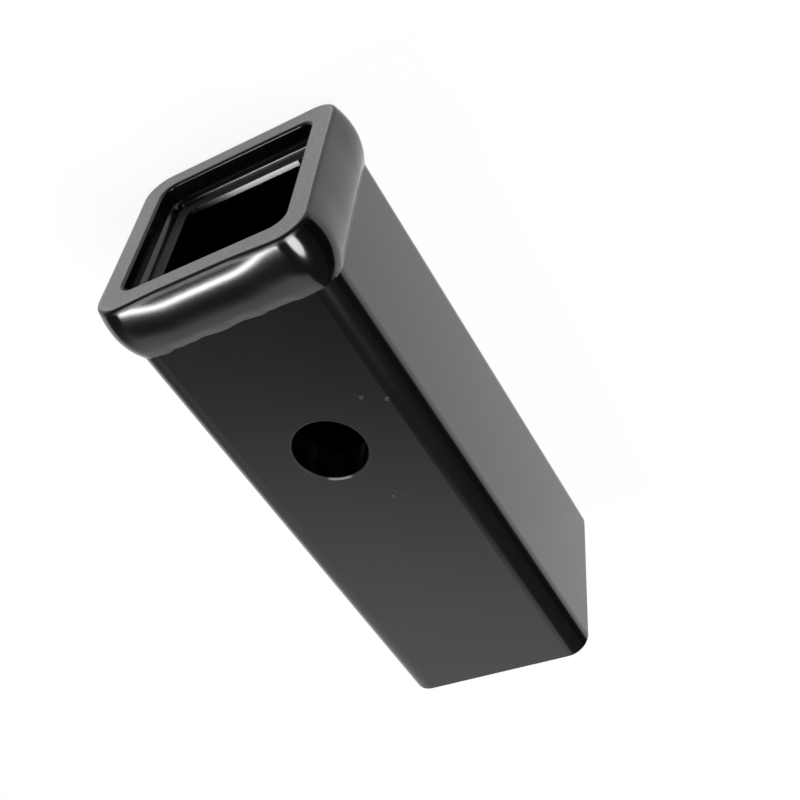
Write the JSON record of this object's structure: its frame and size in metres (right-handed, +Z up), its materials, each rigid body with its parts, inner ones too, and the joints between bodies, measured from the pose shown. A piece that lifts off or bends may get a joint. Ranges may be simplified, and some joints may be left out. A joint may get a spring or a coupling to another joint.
{
  "type": "hitch reducer sleeve",
  "caption": "Square steel sleeve with a collared mouth, an inner socket tube and a cross pin hole, which fits a smaller hitch shank into a larger receiver.",
  "frame": {"origin": "on the ground, under the middle of the sleeve's length, as it lies on its collar and the lower edge of its far end", "axes": "+X runs out of the mouth, which the collar raises by 0.97 degrees, and +Z is up, along the pin hole but for the same lean"},
  "size_m": [0.1438, 0.0554, 0.0554],
  "materials": {
    "shank_coat": "semi-gloss black powder coat",
    "liner_coat": "thin black powder coat inside the tube",
    "collar_coat": "glossier black powder coat",
    "weld_coat": "black powder coat over a smooth fillet weld"
  },
  "bodies": {
    "root": {"outer_tube": "shank_coat", "liner_tube": "liner_coat", "collar": "collar_coat", "collar_weld": "weld_coat", "liner_weld": "weld_coat"}
  },
  "joints": []
}
